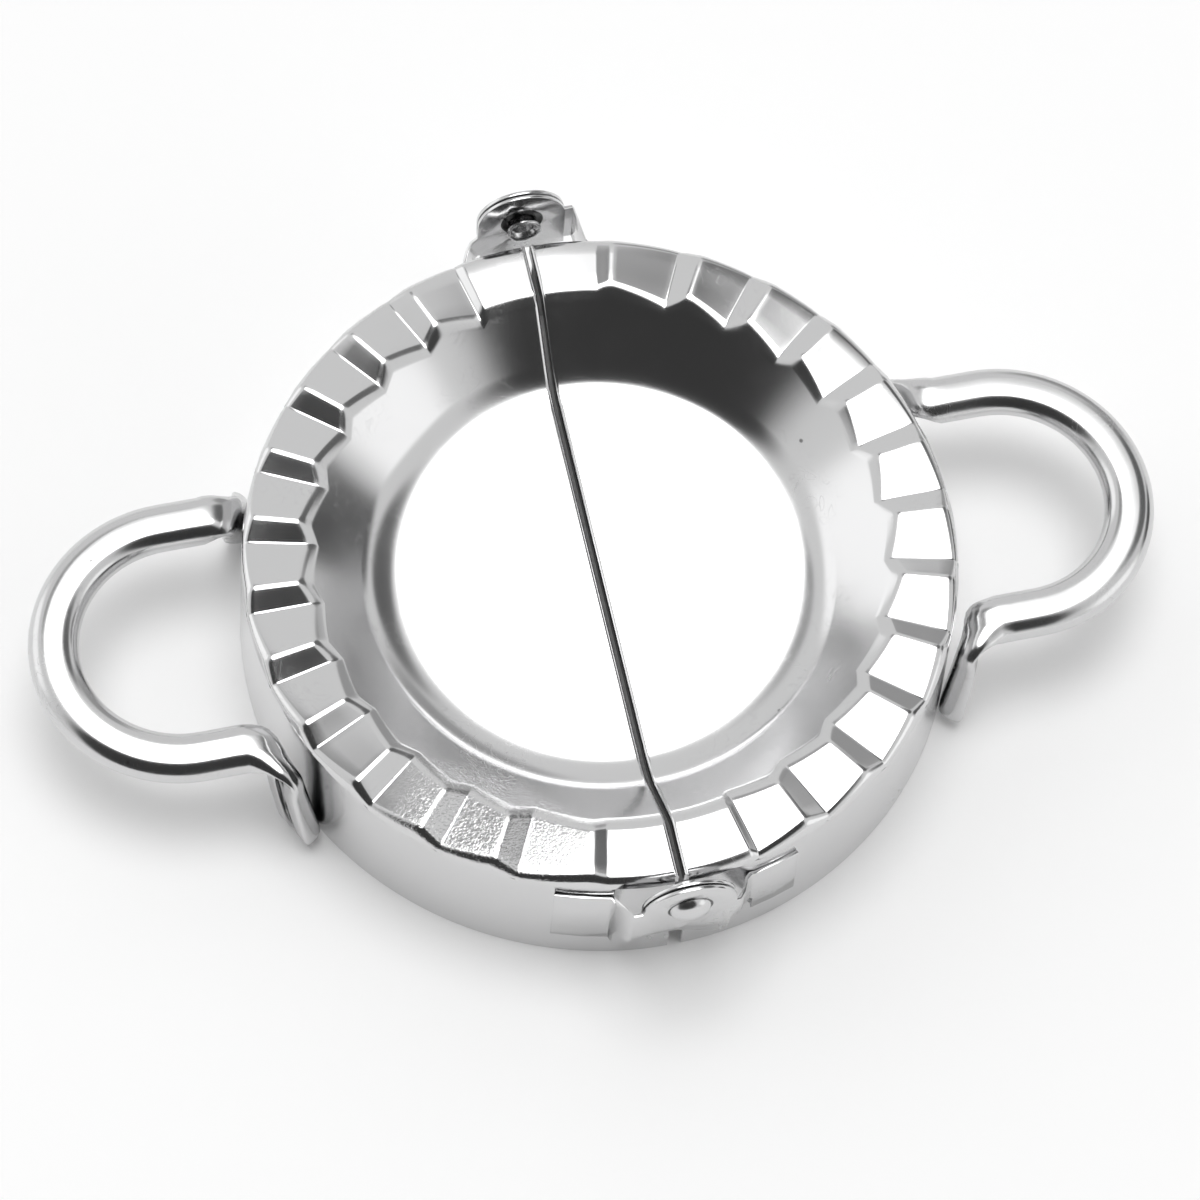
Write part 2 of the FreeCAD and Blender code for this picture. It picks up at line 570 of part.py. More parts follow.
def handle_stations(offset):
    """Places along half of the right-hand handle, from the foot of its tab to its outermost point.

    The middle of the round part lies at the given offset in Y. Each station is the middle of the
    web, the direction of travel, the side that the web faces, the width of the strip and the share
    that is left of the straight walls; the bends press them shallow.
    """
    up = FreeCAD.Vector(0, 0, 1)
    rim_level = value(RIM_LEVEL)
    handle_top = rim_level - size("handle_drop")
    loop_radius = size("loop_radius")
    splay = math.radians(size("leg_splay"))
    rim_radius = size("rim_radius")
    handle_reach = rim_radius + size("handle_projection")
    loop_middle = handle_reach - size("handle_width") / 2 - loop_radius
    leg_width = size("leg_width")
    widening = size("handle_width") - leg_width

    # Tab on the skirt: it leans along the skirt and closes on it towards its foot.
    top_level = handle_top - size("bend_drop")
    foot_level = size("tab_foot_rise")

    def on_skirt(angle, level, gap):
        radius = rim_radius + size("skirt_flare") * (1 - level / rim_level) + gap
        turn = math.radians(angle)
        return FreeCAD.Vector(radius * math.cos(turn), radius * math.sin(turn), level)

    tab_top = on_skirt(size("tab_top_angle"), top_level, size("tab_top_gap"))
    tab_foot = on_skirt(size("tab_foot_angle"), foot_level, size("tab_foot_gap"))
    rise = tab_top - tab_foot
    along_tab = FreeCAD.Vector(rise).normalize()
    turn = math.radians((size("tab_top_angle") + size("tab_foot_angle")) / 2)
    inward = FreeCAD.Vector(-math.cos(turn), -math.sin(turn), 0)
    web_side = (inward - along_tab * inward.dot(along_tab)).normalize()
    stations = []
    for share, width_share in TAB_TIP_WIDTH_SHARES:
        place = tab_foot + along_tab * (share * size("tab_rounding"))
        stations.append((place, along_tab, web_side, width_share * leg_width, 1))
    tab_start = stations[-1][0]
    for share in STRAIGHT_SHARES:
        place = tab_start + (tab_top - tab_start) * share
        stations.append((place, along_tab, web_side, leg_width, 1))
    stations.append((tab_top, along_tab, web_side, leg_width, 1))

    # Leg and round part, level with each other.
    leg_start = FreeCAD.Vector(
        loop_middle + loop_radius * math.sin(splay),
        offset + loop_radius * math.cos(splay),
        handle_top,
    )
    leg_way = FreeCAD.Vector(math.cos(splay), -math.sin(splay), 0)
    bend_end = rim_radius * math.cos(math.radians(size("tab_top_angle"))) + size("bend_reach")
    leg_end = leg_start - leg_way * ((leg_start.x - bend_end) / leg_way.x)

    # Bend between tab and leg: a cubic curve that keeps both directions.
    pull = (leg_end - tab_top).Length * BEND_PULL_SHARE
    first, last = tab_top + along_tab * pull, leg_end - leg_way * pull
    for share, wall_share in BEND_SHARES:
        rest = 1 - share
        place = (
            tab_top * rest ** 3 + first * (3 * rest ** 2 * share)
            + last * (3 * rest * share ** 2) + leg_end * share ** 3
        )
        way = (
            (first - tab_top) * rest ** 2 + (last - first) * (2 * rest * share)
            + (leg_end - last) * share ** 2
        ).normalize()
        quarter = math.pi / 2 * share * (2 - share)
        facing = web_side * math.cos(quarter) + up * math.sin(quarter)
        facing = (facing - way * facing.dot(way)).normalize()
        stations.append((place, way, facing, leg_width, wall_share))
    stations.append((leg_end, leg_way, up, leg_width, 1))
    for share in STRAIGHT_SHARES:
        place = leg_end + (leg_start - leg_end) * share
        stations.append((place, leg_way, up, leg_width, 1))
    arc = math.pi / 2 - splay
    stations.append((leg_start, leg_way, up, leg_width, 1))
    for share in LOOP_SHARES:
        angle = arc * (1 - share)
        place = FreeCAD.Vector(
            loop_middle + loop_radius * math.cos(angle),
            offset + loop_radius * math.sin(angle),
            handle_top,
        )
        way = FreeCAD.Vector(math.sin(angle), -math.cos(angle), 0)
        stations.append((place, way, up, leg_width + widening * share, 1))
    return stations


def make_handle(name):
    """Handle bent from a channel-shaped strip: two tabs on the skirt and a round loop."""
    half = handle_stations(-size("loop_offset"))
    mirrored = [
        (
            FreeCAD.Vector(place.x, -place.y, place.z),
            FreeCAD.Vector(-way.x, way.y, -way.z),
            FreeCAD.Vector(facing.x, -facing.y, facing.z),
            width,
            wall_share,
        )
        for place, way, facing, width, wall_share in handle_stations(size("loop_offset"))[:-1]
    ]
    wires = [channel_wire(*station) for station in half + list(reversed(mirrored))]
    handle = doc.addObject("Part::Feature", name)
    handle.Label = name
    handle.Shape = Part.makeLoft(wires, True, False)
    return handle


HALF_TURN = FreeCAD.Placement(FreeCAD.Vector(0, 0, 0), FreeCAD.Rotation(FreeCAD.Vector(0, 0, 1), 180))

# Every piece in its place; the second of each pair is turned half a turn about Z.
parts = []
for makers in (
    (make_shell, "left_half_mould", "right_half_mould"),
    (make_handle, "right_handle", "left_handle"),
    (make_outer_bracket, "front_outer_bracket", "rear_outer_bracket"),
    (make_inner_bracket, "front_inner_bracket", "rear_inner_bracket"),
    (make_rivet, "front_rivet", "rear_rivet"),
):
    make, here, turned_name = makers
    parts.append(make(here))
    turned_part = make(turned_name)
    turned_part.Placement = HALF_TURN
    parts.append(turned_part)

doc.recompute()
for item in doc.Objects:
    if "Invalid" in item.State or "Error" in item.State:
        raise RuntimeError(f"{item.Label} did not recompute: {item.State}")
os.makedirs("parts", exist_ok=True)
for part in parts:
    if part.Shape.isNull() or not part.Shape.isValid():
        raise RuntimeError(f"{part.Label} has no valid shape")
    part.Shape.exportStep(f"parts/{part.Label}.step")
    box = part.Shape.BoundBox
    print(
        part.Label, len(part.Shape.Solids), "solid", round(part.Shape.Volume, 1),
        [round(v, 2) for v in (box.XMin, box.YMin, box.ZMin, box.XMax, box.YMax, box.ZMax)],
    )
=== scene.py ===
import bpy
import bmesh
import math
from mathutils import Matrix, Vector


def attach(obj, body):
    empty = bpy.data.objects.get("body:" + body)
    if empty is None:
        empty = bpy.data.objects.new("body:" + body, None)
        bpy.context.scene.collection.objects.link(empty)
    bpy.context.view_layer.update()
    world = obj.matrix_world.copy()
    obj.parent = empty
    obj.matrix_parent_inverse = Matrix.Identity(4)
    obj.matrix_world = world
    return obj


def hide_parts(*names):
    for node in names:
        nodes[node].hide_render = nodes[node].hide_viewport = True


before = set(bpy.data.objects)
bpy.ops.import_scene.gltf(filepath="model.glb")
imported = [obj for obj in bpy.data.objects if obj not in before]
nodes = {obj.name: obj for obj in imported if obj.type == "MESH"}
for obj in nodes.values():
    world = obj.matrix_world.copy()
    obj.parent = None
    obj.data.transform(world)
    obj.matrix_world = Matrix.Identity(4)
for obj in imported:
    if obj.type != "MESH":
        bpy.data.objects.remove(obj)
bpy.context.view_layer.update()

# ---------------------------------------------------------------------------------------------
# The studio. A white table under a large soft box, with darker walls between the soft boxes:
# the bright steel shows nothing but these, so each wall and soft box is a patch of the world.
# ---------------------------------------------------------------------------------------------
bpy.ops.object.select_all(action="DESELECT")
scene = bpy.context.scene
scene.view_settings.view_transform = "Standard"
TABLE_WHITE = 0.95
TABLE_GLOW = 0.06        # added where the table is seen, directly or in the steel
STUDIO_LEVEL = 1.04      # brightness of the studio between its patches

bpy.ops.mesh.primitive_plane_add(size=6, location=(0, 0, 0))
table = bpy.context.active_object
table.name = "white_table"
table_paint = bpy.data.materials.new("white_table_paint")
table_paint.use_nodes = True
table_shader = table_paint.node_tree.nodes["Principled BSDF"]
table_shader.inputs["Base Color"].default_value = (TABLE_WHITE, TABLE_WHITE, TABLE_WHITE, 1)
table_shader.inputs["Roughness"].default_value = 0.9
table_shader.inputs["Specular IOR Level"].default_value = 0.0
table_shader.inputs["Emission Color"].default_value = (1, 1, 1, 1)
table_looks = table_paint.node_tree
table_seen = table_looks.nodes.new("ShaderNodeLightPath")
table_shown = table_looks.nodes.new("ShaderNodeMath")
table_shown.operation = "MAXIMUM"
table_looks.links.new(table_seen.outputs["Is Camera Ray"], table_shown.inputs[0])
table_looks.links.new(table_seen.outputs["Is Glossy Ray"], table_shown.inputs[1])
table_glow = table_looks.nodes.new("ShaderNodeMath")
table_glow.operation = "MULTIPLY"
table_glow.inputs[1].default_value = TABLE_GLOW
table_looks.links.new(table_shown.outputs["Value"], table_glow.inputs[0])
table_looks.links.new(table_glow.outputs["Value"], table_shader.inputs["Emission Strength"])
table.data.materials.append(table_paint)

# Each patch: bearing from the rear hinge towards the right handle, height, half width and soft
# edge in degrees, and brightness. A later one is painted over the earlier ones.
STUDIO_PATCHES = [
    ("rear_wall", 38, 15, 15, 5, 0.5),
    ("front_wall", -155, 40, 46, 6, 0.06),
    ("right_wall", 64, 44, 17, 4, 0.18),
    ("low_right_wall", 84, 9, 12, 4, 0.12),
    ("rear_left_wall", -20, 56, 9, 5, 0.4),
    ("left_soft_box", -58, 14, 21, 4, 1.7),
    ("right_soft_box", 120, 13, 17, 4, 1.7),
    ("overhead_soft_box", 5, 83, 20, 4, 5.5),
]

world = bpy.data.worlds.new("studio")
scene.world = world
world.use_nodes = True
sky = world.node_tree
sky.nodes.clear()
direction = sky.nodes.new("ShaderNodeTexCoord").outputs["Generated"]
brightness = None
for patch, bearing, height, half_width, soft_edge, level in STUDIO_PATCHES:
    across = math.cos(math.radians(height))
    towards = (
        across * math.sin(math.radians(bearing)),
        across * math.cos(math.radians(bearing)),
        math.sin(math.radians(height)),
    )
    nearness = sky.nodes.new("ShaderNodeVectorMath")
    nearness.operation = "DOT_PRODUCT"
    nearness.inputs[1].default_value = towards
    sky.links.new(direction, nearness.inputs[0])
    inside = sky.nodes.new("ShaderNodeMapRange")
    inside.interpolation_type = "SMOOTHSTEP"
    inside.inputs["From Min"].default_value = math.cos(math.radians(half_width + soft_edge))
    inside.inputs["From Max"].default_value = math.cos(math.radians(half_width - soft_edge))
    sky.links.new(nearness.outputs["Value"], inside.inputs["Value"])
    paint = sky.nodes.new("ShaderNodeMix")
    paint.data_type = "FLOAT"
    paint.label = patch
    sky.links.new(inside.outputs["Result"], paint.inputs["Factor"])
    if brightness is None:
        paint.inputs["A"].default_value = STUDIO_LEVEL
    else:
        sky.links.new(brightness, paint.inputs["A"])
    paint.inputs["B"].default_value = level
    brightness = paint.outputs["Result"]
seen = sky.nodes.new("ShaderNodeLightPath")
backdrop = sky.nodes.new("ShaderNodeMix")
backdrop.data_type = "FLOAT"
backdrop.inputs["B"].default_value = 1.0
sky.links.new(seen.outputs["Is Camera Ray"], backdrop.inputs["Factor"])
sky.links.new(brightness, backdrop.inputs["A"])
sky_light = sky.nodes.new("ShaderNodeBackground")
sky.links.new(backdrop.outputs["Result"], sky_light.inputs["Strength"])
sky_output = sky.nodes.new("ShaderNodeOutputWorld")
sky.links.new(sky_light.outputs["Background"], sky_output.inputs["Surface"])

# ---------------------------------------------------------------------------------------------
# The camera. It looks steeply down on the open press from the front, a little from the left,
# and is rolled a few degrees: the picture is square.
# ---------------------------------------------------------------------------------------------
VIEW_BEARING = math.radians(-17.97)
VIEW_HEIGHT = math.radians(64.76)
VIEW_ROLL = math.radians(6.0)
VIEW_DISTANCE = 0.51298
VIEW_TARGET = Vector((-0.00173, -0.00693, 0.021))
VIEW_LENS = 117.12       # mm, on a sensor 36 mm wide

camera_data = bpy.data.cameras.new("product_camera")
camera_data.sensor_width = 36
camera_data.lens = VIEW_LENS
camera_data.clip_start = 0.01
camera = bpy.data.objects.new("product_camera", camera_data)
scene.collection.objects.link(camera)
towards_camera = Vector((
    math.sin(VIEW_BEARING) * math.cos(VIEW_HEIGHT),
    -math.cos(VIEW_BEARING) * math.cos(VIEW_HEIGHT),
    math.sin(VIEW_HEIGHT),
))
camera.matrix_world = (
    Matrix.Translation(VIEW_TARGET + towards_camera * VIEW_DISTANCE)
    @ Matrix.Rotation(VIEW_BEARING, 4, "Z")
    @ Matrix.Rotation(math.pi / 2 - VIEW_HEIGHT, 4, "X")
    @ Matrix.Rotation(VIEW_ROLL, 4, "Z")
)
scene.camera = camera

# ---------------------------------------------------------------------------------------------
# Half moulds. Each is one pressing of 0.6 mm stainless sheet: a bowl, a band of crimp teeth
# with a level pad beside each hinge, and a skirt whose foot cuts the dough. The straight side is
# trimmed and rolled down into a lip before the handle and the hinge plates are welded on.
# ---------------------------------------------------------------------------------------------
HALF_COLUMNS = 140       # mesh columns round half the press, ten to a tooth
TOOTH_COLUMNS = 10
SHEET = 0.0006           # thickness of the pressed sheet
SLOT_HALF = 0.0009       # from the fold line to where the straight side is trimmed

# Height of the crimp at each column of the half, from the front hinge to the rear one: a level
# pad, eleven teeth that rise slowly and fall steeply, a last one that ends high, and a pad.
RIDGE_HEIGHT = 0.0014
PAD = [0.0009] * 10
TOOTH = [0, 0.0002, 0.0004, 0.0006, 0.0008, 0.0010, 0.0012, RIDGE_HEIGHT, 0.00093, 0.00047]
LAST_TOOTH = [RIDGE_HEIGHT * column / 9 for column in range(10)] + [0.00115]
CRIMP = PAD + TOOTH * 11 + LAST_TOOTH + PAD
RIDGE_COLUMNS = [17 + TOOTH_COLUMNS * tooth for tooth in range(11)] + [129]
VALLEY_COLUMNS = [10 + TOOTH_COLUMNS * tooth for tooth in range(12)]
PAD_ENDS = [9, 131]
BESIDE_TRIM = [1, 2, 138, 139]

# Radius and height of each ring of the pressing, from the bowl floor to the cutting edge.
BLANK = (0.015, 0.0130)
FLOOR_RADIUS = 0.02633
FLOOR_LEVEL = 0.0130
FLOOR_ROUNDING = 0.008
BOWL_RINGS = [(0.0220, FLOOR_LEVEL), (FLOOR_RADIUS, FLOOR_LEVEL)]
for tilt in (4, 9, 15, 21, 27, 33, 38.5, 43.26):
    turn = math.radians(tilt)
    BOWL_RINGS.append((
        FLOOR_RADIUS + FLOOR_ROUNDING * math.sin(turn),
        FLOOR_LEVEL + FLOOR_ROUNDING * (1 - math.cos(turn)),
    ))
BOWL_RINGS += [(0.0345, 0.017705), (0.0362, 0.0193)]
# Ring of the crimped band, and where a full ridge carries it to.
BAND_RINGS = {
    "lip_foot": ((0.0373, 0.02034), (0.0383, 0.02128)),
    "lip_top": ((0.0386, 0.0210), (0.0399, 0.0224)),
    "tile_inner": ((0.0414, 0.0210), (0.0422, 0.0224)),
    "tile_outer": ((0.0446, 0.0210), (0.0446, 0.0224)),
    "rim": ((0.0475, 0.0210), (0.0468, 0.0224)),
    "rim_foot": ((0.0475, 0.0199), (0.0475, 0.0206)),
}
CUTTING_EDGE = (0.0484, 0.00005)
RING_REACH = 0.00004     # how near to a ring its points lie


def pick(kind, wanted):
    """Select the points, edges or faces of the mesh in hand that a test wants, and no others."""
    bpy.ops.mesh.select_mode(type={"verts": "VERT", "edges": "EDGE", "faces": "FACE"}[kind])
    bpy.ops.mesh.select_all(action="DESELECT")
    net = bmesh.from_edit_mesh(bpy.context.edit_object.data)
    for element in getattr(net, kind):
        if wanted(element):
            element.select_set(True)
    bmesh.update_edit_mesh(bpy.context.edit_object.data)


def on_ring(point, ring):
    """Whether a point of the unpressed blank lies on a ring given by radius and height."""
    radius, height = ring
    return (
        abs(math.hypot(point.co.x, point.co.y) - radius) < RING_REACH
        and abs(point.co.z - height) < RING_REACH
    )


def column_of(point):
    """Column of a point, counted from the front hinge round the right half to the rear one."""
    return round((math.atan2(point.co.y, point.co.x) / math.pi + 0.5) * HALF_COLUMNS)


# A round blank is drawn out ring by ring, cut in half, and rid of the columns that would lie too
# near to the trimmed side.
bpy.ops.object.select_all(action="DESELECT")
bpy.ops.mesh.primitive_circle_add(
    vertices=2 * HALF_COLUMNS, radius=BLANK[0], fill_type="NGON", location=(0, 0, BLANK[1])
)
right_mould = bpy.context.active_object
bpy.ops.object.transform_apply(location=True, rotation=False, scale=False)
bpy.ops.object.mode_set(mode="EDIT")
pick("edges", lambda edge: edge.is_boundary)
drawn = BLANK
for ring in BOWL_RINGS + [low for low, high in BAND_RINGS.values()] + [CUTTING_EDGE]:
    bpy.ops.mesh.extrude_edges_move()
    spread = ring[0] / drawn[0]
    bpy.ops.transform.resize(value=(spread, spread, 1), center_override=(0, 0, 0))
    bpy.ops.transform.translate(value=(0, 0, ring[1] - drawn[1]))
    drawn = ring
bpy.ops.mesh.select_all(action="SELECT")
bpy.ops.mesh.bisect(plane_co=(0, 0, 0), plane_no=(1, 0, 0), clear_inner=True)
pick("edges", lambda edge: (
    column_of(edge.verts[0]) == column_of(edge.verts[1])
    and column_of(edge.verts[0]) in BESIDE_TRIM
))
bpy.ops.mesh.dissolve_edges(use_verts=True)

# How round each fold is, as bevel weights: along the rings, then across the band.
low_rings = {name: low for name, (low, high) in BAND_RINGS.items()}
for name, roundness in (("lip_foot", 0.3), ("lip_top", 0.65), ("rim", 1.0), ("rim_foot", 0.1)):
    pick("edges", lambda edge: all(on_ring(end, low_rings[name]) for end in edge.verts))
    bpy.ops.transform.edge_bevelweight(value=roundness)
for columns, roundness in ((RIDGE_COLUMNS, 0.45), (VALLEY_COLUMNS, 0.22), (PAD_ENDS, 0.22)):
    pick("edges", lambda edge: (
        column_of(edge.verts[0]) == column_of(edge.verts[1])
        and column_of(edge.verts[0]) in columns
        and all(any(on_ring(end, ring) for ring in low_rings.values()) for end in edge.verts)
    ))
    bpy.ops.transform.edge_bevelweight(value=roundness)

# The crimp is pressed ring by ring and height by height.
for low, high in BAND_RINGS.values():
    for height in sorted(set(CRIMP) - {0}):
        pressed = height / RIDGE_HEIGHT
        spread = 1 + (high[0] / low[0] - 1) * pressed
        pick("verts", lambda point: on_ring(point, low) and CRIMP[column_of(point)] == height)
        bpy.ops.transform.resize(value=(spread, spread, 1), center_override=(0, 0, 0))
        bpy.ops.transform.translate(value=(0, 0, (high[1] - low[1]) * pressed))

# The straight side is trimmed, and rolled down from rim to rim into a lip 2.2 mm deep. The lip
# stops where the rim does: the trimmed side of the skirt stays flat.
RIM_REACH = 0.0476
RIM_START = 0.0469
RIM_UNDERSIDE = 0.0208
LIP_STEPS = [
    (-0.00021, -0.00004), (-0.00018, -0.00012), (-0.00012, -0.00018), (-0.00005, -0.00021),
    (-0.00004, -0.00165),
]
bpy.ops.mesh.select_all(action="SELECT")
bpy.ops.mesh.bisect(
    plane_co=(SLOT_HALF, 0, 0), plane_no=(1, 0, 0), clear_inner=True, threshold=0.000001
)
pick("edges", lambda edge: edge.is_boundary and all(
    abs(end.co.x - SLOT_HALF) < 0.00001 and abs(end.co.y) < RIM_REACH
    and not (abs(end.co.y) > RIM_START and end.co.z < RIM_UNDERSIDE) for end in edge.verts
))
for sideways, down in LIP_STEPS:
    bpy.ops.mesh.extrude_edges_move()
    bpy.ops.transform.translate(value=(sideways, 0, down))
bpy.ops.mesh.select_all(action="SELECT")
bpy.ops.mesh.normals_make_consistent(inside=False)
bpy.ops.object.mode_set(mode="OBJECT")

# The sheet's thickness lies under the drawn face; then the folds are rounded.
bpy.ops.object.select_all(action="DESELECT")
right_mould.select_set(True)
bpy.context.view_layer.objects.active = right_mould
sheet = right_mould.modifiers.new("sheet", "SOLIDIFY")
sheet.thickness = SHEET
sheet.offset = -1
sheet.use_even_offset = True
folds = right_mould.modifiers.new("folds", "BEVEL")
folds.limit_method = "WEIGHT"
folds.width = 0.001
folds.segments = 3
folds.use_clamp_overlap = False
bpy.ops.object.modifier_apply(modifier="sheet")
bpy.ops.object.modifier_apply(modifier="folds")
bpy.ops.object.shade_smooth_by_angle(angle=math.radians(40))
evened = right_mould.modifiers.new("evened", "WEIGHTED_NORMAL")
evened.keep_sharp = True
bpy.ops.object.modifier_apply(modifier="evened")
right_mould.name = "right_pressed_mould"

# Marks of handling that all the steel shows: fine scratches, pits and the soft waves of pressed
# sheet. Each finish gives its own values.
marks = bpy.data.node_groups.new("steel_marks", "ShaderNodeTree")
for socket, kind, default in (
    ("Scratches per metre", "NodeSocketFloat", 900), ("Scratch turn", "NodeSocketFloat", 0.5),
    ("Waves per metre", "NodeSocketFloat", 90), ("Pits per metre", "NodeSocketFloat", 300),
    ("Polish", "NodeSocketFloat", 0.08), ("Dullness", "NodeSocketFloat", 0.12),
    ("Clean", "NodeSocketColor", (0.8, 0.8, 0.8, 1)),
    ("Stained", "NodeSocketColor", (0.6, 0.6, 0.6, 1)),
):
    marks.interface.new_socket(socket, in_out="INPUT", socket_type=kind).default_value = default
for socket, kind in (
    ("Color", "NodeSocketColor"), ("Roughness", "NodeSocketFloat"), ("Height", "NodeSocketFloat"),
):
    marks.interface.new_socket(socket, in_out="OUTPUT", socket_type=kind)


def add_node(tree, kind, **settings):
    """Put a node into a tree and set its plain properties."""
    node = tree.nodes.new(kind)
    for setting, wanted_value in settings.items():
        setattr(node, setting, wanted_value)
    return node


def join(tree, *pairs):
    """Link outputs to inputs, pair by pair."""
    for output, target in pairs:
        tree.links.new(output, target)


given = add_node(marks, "NodeGroupInput").outputs
result = add_node(marks, "NodeGroupOutput").inputs
place = add_node(marks, "ShaderNodeTexCoord").outputs["Object"]

# Scratches: two sets of long thin streaks, each turned its own way.
streaks = []
for turned, stretch in ((0.0, (1.0, 0.06, 1.0)), (1.1, (0.05, 1.0, 0.8))):
    laid = add_node(marks, "ShaderNodeVectorRotate", rotation_type="Z_AXIS")
    angle = add_node(marks, "ShaderNodeMath", operation="ADD")
    angle.inputs[1].default_value = turned
    drawn_out = add_node(marks, "ShaderNodeVectorMath", operation="MULTIPLY")
    drawn_out.inputs[1].default_value = stretch
    streak = add_node(marks, "ShaderNodeTexNoise")
    streak.inputs["Detail"].default_value = 2.0
    streak.inputs["Roughness"].default_value = 0.6
    line = add_node(marks, "ShaderNodeMapRange")
    line.inputs["From Min"].default_value = 0.64
    line.inputs["From Max"].default_value = 0.74
    join(
        marks, (given["Scratch turn"], angle.inputs[0]), (angle.outputs[0], laid.inputs["Angle"]),
        (place, laid.inputs["Vector"]), (laid.outputs["Vector"], drawn_out.inputs[0]),
        (drawn_out.outputs["Vector"], streak.inputs["Vector"]),
        (given["Scratches per metre"], streak.inputs["Scale"]),
        (streak.outputs["Fac"], line.inputs["Value"]),
    )
    streaks.append(line.outputs["Result"])
both = add_node(marks, "ShaderNodeMath", operation="MAXIMUM")

# Curled wiping marks: the thin contour lines of a soft noise.
wiped = add_node(marks, "ShaderNodeTexNoise")
wiped.inputs["Scale"].default_value = 280.0
wiped.inputs["Detail"].default_value = 1.5
wiped.inputs["Distortion"].default_value = 0.9
contours = add_node(marks, "ShaderNodeMath", operation="MULTIPLY")
contours.inputs[1].default_value = 6.0
folded = add_node(marks, "ShaderNodeMath", operation="PINGPONG")
folded.inputs[1].default_value = 0.5
curl = add_node(marks, "ShaderNodeMapRange")
curl.inputs["From Min"].default_value = 0.07
curl.inputs["From Max"].default_value = 0.02
marked = add_node(marks, "ShaderNodeMath", operation="MAXIMUM")
join(
    marks, (place, wiped.inputs["Vector"]), (wiped.outputs["Fac"], contours.inputs[0]),
    (contours.outputs[0], folded.inputs[0]), (folded.outputs[0], curl.inputs["Value"]),
    (both.outputs[0], marked.inputs[0]), (curl.outputs["Result"], marked.inputs[1]),
)

# A patchy mask thins out both kinds of marks.
patchy = add_node(marks, "ShaderNodeTexNoise")
patchy.inputs["Scale"].default_value = 70.0
patchy.inputs["Detail"].default_value = 2.0
worn = add_node(marks, "ShaderNodeMapRange")
worn.inputs["From Min"].default_value = 0.45
worn.inputs["From Max"].default_value = 0.7
scratched = add_node(marks, "ShaderNodeMath", operation="MULTIPLY")
join(
    marks, (streaks[0], both.inputs[0]), (streaks[1], both.inputs[1]),
    (place, patchy.inputs["Vector"]), (patchy.outputs["Fac"], worn.inputs["Value"]),
    (marked.outputs[0], scratched.inputs[0]), (worn.outputs["Result"], scratched.inputs[1]),
)

# Pits: the few specks of a cellular pattern whose cell draws a high number.
cells = add_node(marks, "ShaderNodeTexVoronoi")
speck = add_node(marks, "ShaderNodeMapRange")
speck.inputs["From Min"].default_value = 0.16
speck.inputs["From Max"].default_value = 0.08
chance = add_node(marks, "ShaderNodeSeparateColor")
rare = add_node(marks, "ShaderNodeMath", operation="GREATER_THAN")
rare.inputs[1].default_value = 0.985
pitted = add_node(marks, "ShaderNodeMath", operation="MULTIPLY")
join(
    marks, (place, cells.inputs["Vector"]), (given["Pits per metre"], cells.inputs["Scale"]),
    (cells.outputs["Distance"], speck.inputs["Value"]),
    (cells.outputs["Color"], chance.inputs["Color"]), (chance.outputs["Red"], rare.inputs[0]),
    (speck.outputs["Result"], pitted.inputs[0]), (rare.outputs[0], pitted.inputs[1]),
)

# Colour: clean steel, stained in the pits and a little along the scratches.
soiled = add_node(marks, "ShaderNodeMath", operation="MULTIPLY")
soiled.inputs[1].default_value = 0.12
soil = add_node(marks, "ShaderNodeMath", operation="MAXIMUM")
colour = add_node(marks, "ShaderNodeMix", data_type="RGBA")
join(
    marks, (scratched.outputs[0], soiled.inputs[0]), (soiled.outputs[0], soil.inputs[0]),
    (pitted.outputs[0], soil.inputs[1]), (soil.outputs[0], colour.inputs["Factor"]),
    (given["Clean"], colour.inputs["A"]), (given["Stained"], colour.inputs["B"]),
    (colour.outputs["Result"], result["Color"]),
)

# Roughness: polished, duller in the scratches and in soft patches.
haze = add_node(marks, "ShaderNodeMath", operation="MULTIPLY_ADD")
haze.inputs[1].default_value = 0.5
dull = add_node(marks, "ShaderNodeMath", operation="MULTIPLY_ADD")
waves = add_node(marks, "ShaderNodeTexNoise")
waves.inputs["Detail"].default_value = 1.0
join(
    marks, (worn.outputs["Result"], haze.inputs[0]), (scratched.outputs[0], haze.inputs[2]),
    (haze.outputs[0], dull.inputs[0]), (given["Dullness"], dull.inputs[1]),
    (given["Polish"], dull.inputs[2]), (dull.outputs[0], result["Roughness"]),
    (place, waves.inputs["Vector"]), (given["Waves per metre"], waves.inputs["Scale"]),
)

# Height: waves of the sheet, less the depth of scratches and pits.
depth = add_node(marks, "ShaderNodeMath", operation="MULTIPLY")
depth.inputs[1].default_value = 0.008
hole = add_node(marks, "ShaderNodeMath", operation="MULTIPLY")
hole.inputs[1].default_value = 0.15
lowered = add_node(marks, "ShaderNodeMath", operation="ADD")
height = add_node(marks, "ShaderNodeMath", operation="SUBTRACT")
join(
    marks, (scratched.outputs[0], depth.inputs[0]), (pitted.outputs[0], hole.inputs[0]),
    (depth.outputs[0], lowered.inputs[0]), (hole.outputs[0], lowered.inputs[1]),
    (waves.outputs["Fac"], height.inputs[0]), (lowered.outputs[0], height.inputs[1]),
    (height.outputs[0], result["Height"]),
)


